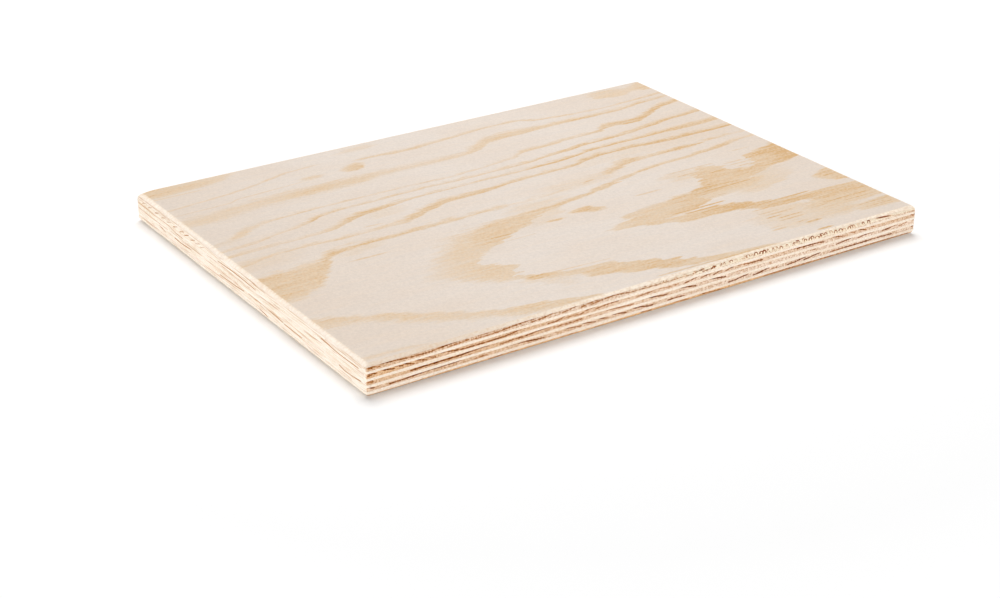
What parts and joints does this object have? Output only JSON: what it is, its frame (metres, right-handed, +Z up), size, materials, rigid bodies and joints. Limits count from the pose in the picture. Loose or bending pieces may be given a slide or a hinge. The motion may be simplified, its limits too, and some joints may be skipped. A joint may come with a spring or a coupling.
{
  "type": "plywood sheet",
  "caption": "Flat rectangular sheet of pine plywood with crossed veneer plies, a flame-figured face and rounded arrises, for building and joinery",
  "frame": {"origin": "middle of the underside", "axes": "+X along the length and the face grain, +Y across the width, +Z up through the plies"},
  "size_m": [0.37, 0.265, 0.018],
  "materials": {
    "outer_veneer": "sanded rotary-cut pine face, unfinished, with tan flame figure",
    "long_ply": "sawn and sanded edge, pale",
    "cross_ply": "sawn and sanded edge, darker where it shows end grain on the long sides"
  },
  "bodies": {
    "root": {"face_veneer": "outer_veneer", "cross_ply_1": "cross_ply", "long_ply_1": "long_ply", "cross_ply_2": "cross_ply", "long_ply_2": "long_ply", "cross_ply_3": "cross_ply", "long_ply_3": "long_ply", "cross_ply_4": "cross_ply", "long_ply_4": "long_ply", "cross_ply_5": "cross_ply", "back_veneer": "outer_veneer"}
  },
  "joints": []
}
